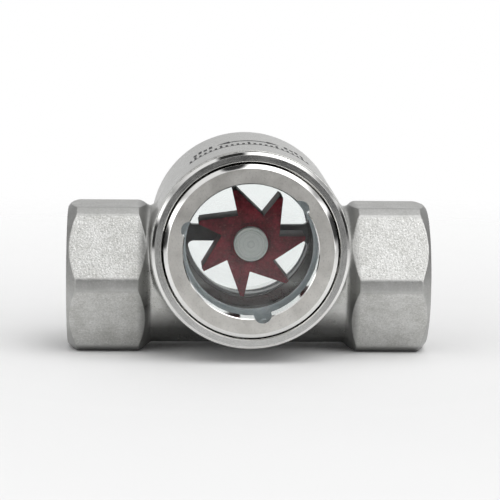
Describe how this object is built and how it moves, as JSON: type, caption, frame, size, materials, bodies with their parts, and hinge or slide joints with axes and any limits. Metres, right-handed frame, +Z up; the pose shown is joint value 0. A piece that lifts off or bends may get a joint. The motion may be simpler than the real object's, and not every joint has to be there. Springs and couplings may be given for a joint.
{
  "type": "sight glass",
  "caption": "In-line sight glass with female threaded ports, a window on each side and a paddle wheel that the flow turns.",
  "frame": {"origin": "middle of the object's bounding box, at the bottom, on the plane that the two hexagons stand on", "axes": "+X along the flow, from one port to the other; -Y out of the front window, where the pin's head is; +Z up"},
  "size_m": [0.08, 0.052, 0.0462],
  "materials": {
    "cast_steel": "investment-cast stainless steel, sand-blasted matt",
    "turned_steel": "turned stainless steel, satin with polished chamfers",
    "window_glass": "clear toughened glass with ground edges",
    "gasket_white": "white PTFE, slightly waxy",
    "impeller_red": "dark red moulded plastic",
    "bush_black": "black bearing plastic"
  },
  "bodies": {
    "housing": {"body": "cast_steel", "front_ring_nut": "turned_steel", "rear_ring_nut": "turned_steel", "front_slip_washer": "turned_steel", "rear_slip_washer": "turned_steel", "front_outer_gasket": "gasket_white", "rear_outer_gasket": "gasket_white", "front_glass": "window_glass", "rear_glass": "window_glass", "front_seat_gasket": "gasket_white", "rear_seat_gasket": "gasket_white", "axle_carrier": "turned_steel", "axle_pin": "turned_steel", "front_thrust_washer": "gasket_white", "rear_thrust_washer": "gasket_white", "lock_washer": "turned_steel", "lock_nut": "turned_steel"},
    "rotor": {"impeller": "impeller_red", "front_hub_bush": "bush_black", "rear_hub_bush": "bush_black"}
  },
  "joints": [
    {"name": "rotor_spin", "type": "hinge", "parent": "housing", "child": "rotor", "pos_m": [0.0004, 0, 0.0245], "axis": [0, 1, 0], "continuous": true}
  ]
}
